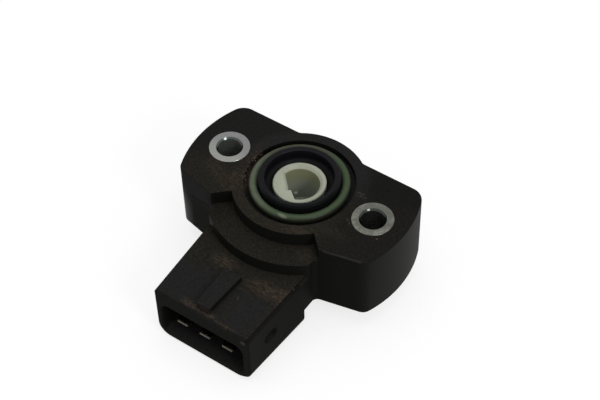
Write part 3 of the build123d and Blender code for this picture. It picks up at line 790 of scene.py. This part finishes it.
class SENSOR_OT_grit(bpy.types.Operator):
    """Strew road grit beside the seal ring, at the key rib's foot and on the hood"""

    bl_idname = "sensor.grit"
    bl_label = "Grit"

    def execute(self, context):
        dice = np.random.default_rng(GRIT_SEED)
        turn = np.radians(dice.uniform(*SEAL_GRIT_TURNS, SEAL_GRIT_COUNT))
        reach = dice.uniform(*SEAL_GRIT_REACH, SEAL_GRIT_COUNT)
        height = dice.uniform(*SEAL_GRIT_HEIGHT, SEAL_GRIT_COUNT)
        beside_seal = np.column_stack((reach * np.cos(turn), reach * np.sin(turn), height))
        spots = np.repeat(GRIT_SPOTS, SPOT_GRIT_COUNT, axis=0)
        spots = spots + dice.normal(0, SPOT_GRIT_SPREAD, spots.shape)
        hood_top = -HOOD_TOP_REAR - HOOD_TOP_SLOPE * (-HOOD_REAR - spots[:, 1])
        places = np.concatenate((beside_seal, np.column_stack((spots, hood_top)))) * MM
        shares = (dice.uniform(*SEAL_CRUMBS, len(beside_seal)), dice.uniform(*SPOT_CRUMBS, len(spots)))
        sizes = context.scene.sensor_sizes.crumb * np.concatenate(shares)
        mesh = self.crumbs(places, sizes, dice)
        add_piece("road_grit", mesh, "housing", "housing_plastic", grit_finish(context.scene.sensor_colours))
        return {"FINISHED"}

    @staticmethod
    def crumbs(places, sizes, dice):
        """Each crumb is an uneven octahedron: corner = place + size * (stretch * axis + skew)."""
        axes = np.concatenate((np.eye(3), -np.eye(3)))
        stretch = dice.uniform(*CRUMB_STRETCH, (len(places), len(axes), 1))
        skew = dice.normal(0, CRUMB_SKEW, (len(places), len(axes), 3))
        points = places[:, None, :] + sizes[:, None, None] * (axes * stretch + skew)
        # Corner 2 is the top and corner 5 the foot, with the other four round them
        around = np.array((0, 1, 3, 4))
        after = np.roll(around, -1)
        top = np.column_stack((around, after, np.full(4, 2)))
        foot = np.column_stack((after, around, np.full(4, 5)))
        faces = np.concatenate((top, foot)) + len(axes) * np.arange(len(places))[:, None, None]
        mesh = bpy.data.meshes.new("road_grit")
        mesh.from_pydata(points.reshape(-1, 3).tolist(), [], faces.reshape(-1, 3).tolist())
        return mesh


class SENSOR_OT_seal_ring(bpy.types.Operator):
    """Mould the round face seal with the fine flash of its mould"""

    bl_idname = "sensor.seal_ring"
    bl_label = "Seal ring"

    def execute(self, context):
        sizes = context.scene.sensor_sizes
        low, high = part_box("o_ring")
        half = (high.z - low.z) / 2
        mean = (high.x - low.x) / 2 - half
        turn = np.linspace(0, 2 * np.pi, sizes.seal_steps, endpoint=False)
        round_section = half - sizes.seal_flash + self.flash(turn, half, sizes)
        radii = mean + round_section * np.cos(turn)
        heights = (high.z + low.z) / 2 + round_section * np.sin(turn)
        mesh = ring_mesh("seal_ring", radii, heights, sizes.turns)
        material = seal_finish(context.scene.sensor_colours)
        add_piece("seal_ring", mesh, "housing", "ring_rubber", material, "o_ring")
        return {"FINISHED"}

    @staticmethod
    def flash(turn, half, sizes):
        """Height of the flash at the outer and inner sides of the section: flash * exp(-(arc / width)^2)."""
        arc = half * np.abs(np.sin(turn))
        return sizes.seal_flash * np.exp(-((arc / sizes.flash_width) ** 2))


class SENSOR_OT_rotor(bpy.types.Operator):
    """Give the rotor its cream plastic and greased socket"""

    bl_idname = "sensor.rotor"
    bl_label = "Rotor"

    def execute(self, context):
        paint_node("rotor", rotor_finish(context.scene.sensor_colours))
        return {"FINISHED"}


class SENSOR_OT_terminals(bpy.types.Operator):
    """Tin the three connector terminals"""

    bl_idname = "sensor.terminals"
    bl_label = "Terminals"

    def execute(self, context):
        material = tin_finish(context.scene.sensor_colours)
        for place in (1, 2, 3):
            paint_node(f"terminal_{place}", material)
        return {"FINISHED"}


class SENSOR_OT_back_cover(bpy.types.Operator):
    """Give the back cover its plastic and the cover's and shaft's seals their rubber"""

    bl_idname = "sensor.back_cover"
    bl_label = "Back cover and seals"

    def execute(self, context):
        colours = context.scene.sensor_colours
        paint_node("back_cover", cover_finish(colours))
        rubber = rubber_finish(colours)
        for node in ("shaft_seal", "cover_seal"):
            paint_node(node, rubber)
        return {"FINISHED"}


class SENSOR_OT_inner_parts(bpy.types.Operator):
    """Finish the resistor plate, its tracks and pads, the wiper, the washer and the clips"""

    bl_idname = "sensor.inner_parts"
    bl_label = "Inner parts"

    def execute(self, context):
        colours = context.scene.sensor_colours
        silver = track_finish("track_silver", colours.silver, colours.spring_and_shade, 1.0)
        copper = sheet_finish("contact_metal", colours.contact, colours.spring_and_shade)
        finishes = {
            "resistor_plate": ceramic_finish(colours),
            "resistor_track": track_finish("track_carbon", colours.carbon, colours.rubber, 0.0),
            "collector_track": silver,
            "contact_pads": silver,
            "wiper": copper,
            "spring_washer": sheet_finish("spring_steel", colours.spring_and_shade, colours.steel),
        }
        finishes.update({f"contact_clip_{place}": copper for place in (1, 2, 3)})
        for node, material in finishes.items():
            paint_node(node, material)
        return {"FINISHED"}


class SENSOR_OT_stage(bpy.types.Operator):
    """Set the floor, the even light, the two lamps and the camera"""

    bl_idname = "sensor.stage"
    bl_label = "Stage"

    def execute(self, context):
        stage = context.scene.sensor_stage
        self.set_floor(context, stage)
        self.set_light(context, stage)
        self.set_camera(context, stage)
        context.scene.view_settings.view_transform = "Standard"
        return {"FINISHED"}

    @staticmethod
    def set_floor(context, stage):
        """Square floor at the sensor's lowest point."""
        half = stage.floor_size / 2
        level = CAD_BOX[0][2]
        corners = [(-half, -half, level), (half, -half, level), (half, half, level), (-half, half, level)]
        mesh = bpy.data.meshes.new("floor")
        mesh.from_pydata(corners, [], [(0, 1, 2, 3)])
        mesh.materials.append(floor_finish(context.scene.sensor_colours, stage.floor_glow))
        floor = bpy.data.objects.new("floor", mesh)
        context.scene.collection.objects.link(floor)

    def set_light(self, context, stage):
        """Even white light from all round, one large lamp overhead and one small lamp at the right."""
        world = bpy.data.worlds.new("studio")
        world.use_nodes = True
        background = world.node_tree.nodes["Background"]
        background.inputs["Color"].default_value = (1, 1, 1, 1)
        background.inputs["Strength"].default_value = stage.sky
        context.scene.world = world
        overhead = Vector((0, 0, stage.lamp_height))
        self.add_lamp(context, "soft_lamp", stage.lamp_size, stage.lamp_power, overhead)
        key = toward(stage.key_azimuth, stage.key_elevation) * stage.key_distance
        self.add_lamp(context, "key_lamp", stage.key_size, stage.key_power, key)

    @staticmethod
    def add_lamp(context, name, size, power, place):
        """Square lamp at a place, turned to the sensor."""
        lamp = bpy.data.lights.new(name, "AREA")
        lamp.shape = "SQUARE"
        lamp.size = size
        lamp.energy = power
        holder = bpy.data.objects.new(name, lamp)
        holder.location = place
        holder.rotation_euler = place.to_track_quat("Z", "Y").to_euler()
        context.scene.collection.objects.link(holder)

    @staticmethod
    def set_camera(context, stage):
        """Camera at the photograph's viewing angle, rolled about its line of sight."""
        back = toward(stage.azimuth, stage.elevation)
        level = Vector((math.cos(stage.azimuth), math.sin(stage.azimuth), 0))
        right = level * math.cos(stage.roll) + back.cross(level) * math.sin(stage.roll)
        place = Matrix((right, back.cross(right), back)).transposed().to_4x4()
        place.translation = Vector(stage.target) + back * stage.distance
        camera = bpy.data.cameras.new("camera")
        camera.sensor_fit = "HORIZONTAL"
        camera.lens = stage.lens
        camera.clip_start = stage.near
        camera.clip_end = stage.far
        holder = bpy.data.objects.new("camera", camera)
        holder.matrix_world = place
        context.scene.collection.objects.link(holder)
        context.scene.camera = holder


OPERATORS = (
    SENSOR_OT_housing,
    SENSOR_OT_grit,
    SENSOR_OT_bushes,
    SENSOR_OT_seal_ring,
    SENSOR_OT_rotor,
    SENSOR_OT_terminals,
    SENSOR_OT_back_cover,
    SENSOR_OT_inner_parts,
    SENSOR_OT_stage,
)


class SENSOR_PT_pieces(bpy.types.Panel):
    """Pieces of the sensor in the 3D view's sidebar"""

    bl_label = "Throttle sensor"
    bl_idname = "SENSOR_PT_pieces"
    bl_space_type = "VIEW_3D"
    bl_region_type = "UI"
    bl_category = "Sensor"

    def draw(self, context):
        for operator in OPERATORS:
            self.layout.operator(operator.bl_idname)


GROUPS = {"sensor_sizes": SensorSizes, "sensor_colours": SensorColours, "sensor_stage": SensorStage}
CLASSES = (*GROUPS.values(), *OPERATORS, SENSOR_PT_pieces)


def register():
    """Adds the classes, and the groups of values to the scene."""
    for cls in CLASSES:
        bpy.utils.register_class(cls)
    for name, group in GROUPS.items():
        setattr(bpy.types.Scene, name, PointerProperty(type=group))


def unregister():
    """Takes the groups of values and the classes away again."""
    for name in GROUPS:
        delattr(bpy.types.Scene, name)
    for cls in reversed(CLASSES):
        bpy.utils.unregister_class(cls)


def main():
    """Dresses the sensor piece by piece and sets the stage."""
    register()
    bpy.ops.sensor.housing()
    bpy.ops.sensor.grit()
    bpy.ops.sensor.bushes()
    bpy.ops.sensor.seal_ring()
    bpy.ops.sensor.rotor()
    bpy.ops.sensor.terminals()
    bpy.ops.sensor.back_cover()
    bpy.ops.sensor.inner_parts()
    bpy.ops.sensor.stage()


if __name__ == "__main__":
    main()
